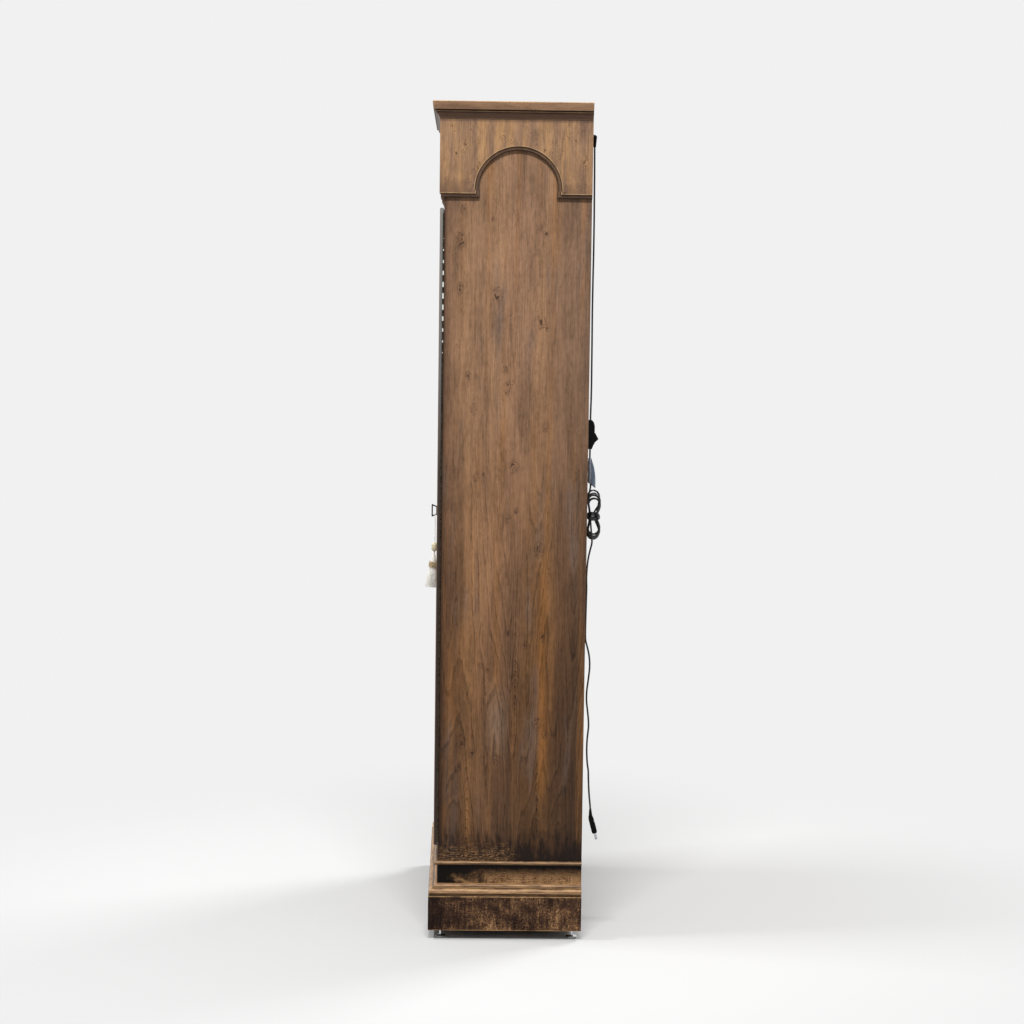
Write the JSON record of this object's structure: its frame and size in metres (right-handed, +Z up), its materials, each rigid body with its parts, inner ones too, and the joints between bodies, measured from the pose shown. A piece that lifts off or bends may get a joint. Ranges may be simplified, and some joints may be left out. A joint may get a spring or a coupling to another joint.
{
  "type": "display cabinet",
  "caption": "Tall lit display cabinet with arched frieze boards, two glazed doors with a lock and tasselled key, glass shelves, levelling feet and a hanging power cord.",
  "frame": {"origin": "on the floor, at the middle of the footprint without the cord", "axes": "+Z up, the doors face -Y, the cord hangs behind at +Y, width along X"},
  "size_m": [0.7992, 0.4471, 2.083],
  "materials": {
    "side_veneer": "satin veneer, walnut brown, worn",
    "frieze_wood": "satin veneer with gold-brown worn edges",
    "moulding_wood": "satin, dark in the hollows, worn on the edges",
    "base_wood": "satin, dark stained, scuffed",
    "door_wood": "satin, walnut brown",
    "bead_wood": "satin",
    "inner_wood": "satin",
    "back_board": "matte hardboard",
    "raw_wood": "matte, unfinished",
    "door_glass": "clear",
    "lens_glass": "frosted",
    "bulb_glass": "frosted",
    "hinge_brass": "satin, tarnished",
    "lock_brass": "satin, tarnished",
    "bright_steel": "polished",
    "zinc_steel": "satin",
    "magnet_case": "matte",
    "lamp_metal": "satin",
    "key_iron": "dark satin",
    "tassel_thread": "silky thread, ivory and tan",
    "cord_rubber": "satin black",
    "black_plastic": "semi-gloss black",
    "sleeve_plastic": "dull grey-blue"
  },
  "bodies": {
    "cabinet": {"side_panel_right": "side_veneer", "side_panel_left": "side_veneer", "display_ceiling": "inner_wood", "bottom_board": "inner_wood", "back_panel": "back_board", "top_rail": "door_wood", "bottom_rail": "door_wood", "crown_cap": "frieze_wood", "cornice_moulding": "moulding_wood", "frieze_front": "frieze_wood", "frieze_right": "frieze_wood", "frieze_left": "frieze_wood", "base_frame": "base_wood", "base_mouldings": "moulding_wood", "plinth_boards": "base_wood", "corner_blocks": "raw_wood", "foot_sockets": "zinc_steel", "hinge_frame_leaves": "hinge_brass", "hinge_pins": "zinc_steel", "catch_magnets": "magnet_case", "glass_shelves": "door_glass", "shelf_pins": "zinc_steel", "lamp_housing": "lamp_metal", "lamp_bulb": "bulb_glass", "lamp_lens": "lens_glass", "lamp_lead": "cord_rubber", "cord_gland": "black_plastic", "cord_upper": "cord_rubber", "switch_case": "black_plastic", "cord_middle": "cord_rubber", "cord_sleeve": "sleeve_plastic", "cord_hank": "cord_rubber", "hank_tie": "cord_rubber", "cord_tail": "cord_rubber", "plug_body": "black_plastic", "plug_prongs": "hinge_brass"},
    "right_door": {"right_door_hinge_stile": "door_wood", "right_door_meeting_stile": "door_wood", "right_door_rails": "door_wood", "right_door_glass": "door_glass", "right_door_beads": "bead_wood", "right_hinge_leaf": "hinge_brass", "right_catch_plate": "zinc_steel", "lock_case": "lock_brass", "escutcheon": "lock_brass"},
    "left_door": {"left_door_hinge_stile": "door_wood", "left_door_meeting_stile": "door_wood", "left_door_rails": "door_wood", "left_door_glass": "door_glass", "left_door_beads": "bead_wood", "left_hinge_leaf": "hinge_brass", "left_catch_plate": "zinc_steel"},
    "lock_bolt": {"lock_bolt": "lock_brass"},
    "key": {"key": "key_iron"},
    "tassel": {"tassel": "tassel_thread"},
    "switch_rocker": {"switch_rocker": "black_plastic"},
    "foot_front_right": {"foot_front_right": "bright_steel"},
    "foot_front_left": {"foot_front_left": "bright_steel"},
    "foot_back_right": {"foot_back_right": "bright_steel"},
    "foot_back_left": {"foot_back_left": "bright_steel"}
  },
  "joints": [
    {"name": "right_door_swing", "type": "hinge", "parent": "cabinet", "child": "right_door", "pos_m": [0.3713, -0.1606, 1.03], "axis": [0, 0, 1], "range_deg": [0, 120]},
    {"name": "left_door_swing", "type": "hinge", "parent": "cabinet", "child": "left_door", "pos_m": [-0.3713, -0.1606, 1.03], "axis": [0, 0, 1], "range_deg": [-120, 0]},
    {"name": "key_turn", "type": "hinge", "parent": "right_door", "child": "key", "pos_m": [0.02425, -0.1702, 1.048], "axis": [0, 1, 0], "range_deg": [0, 90]},
    {"name": "bolt_slide", "type": "slide", "parent": "right_door", "child": "lock_bolt", "axis": [-1, 0, 0], "range_m": [0, 0.009]},
    {"name": "tassel_swing", "type": "hinge", "parent": "key", "child": "tassel", "pos_m": [0.02425, -0.1782, 1.03642], "axis": [0, 1, 0], "range_deg": [-90, 0]},
    {"name": "switch_rocker_tilt", "type": "hinge", "parent": "cabinet", "child": "switch_rocker", "pos_m": [0.318, 0.2175, 1.261], "axis": [1, 0, 0], "range_deg": [0, 17]},
    {"name": "foot_front_right_screw", "type": "slide", "parent": "cabinet", "child": "foot_front_right", "axis": [0, 0, -1], "range_m": [0, 0.01]},
    {"name": "foot_front_left_screw", "type": "slide", "parent": "cabinet", "child": "foot_front_left", "axis": [0, 0, -1], "range_m": [0, 0.01]},
    {"name": "foot_back_right_screw", "type": "slide", "parent": "cabinet", "child": "foot_back_right", "axis": [0, 0, -1], "range_m": [0, 0.01]},
    {"name": "foot_back_left_screw", "type": "slide", "parent": "cabinet", "child": "foot_back_left", "axis": [0, 0, -1], "range_m": [0, 0.01]}
  ],
  "couplings": [
    {"joint": "key_turn", "follows": "bolt_slide", "rad_per_m": 174.5},
    {"joint": "tassel_swing", "follows": "bolt_slide", "rad_per_m": -174.5}
  ]
}
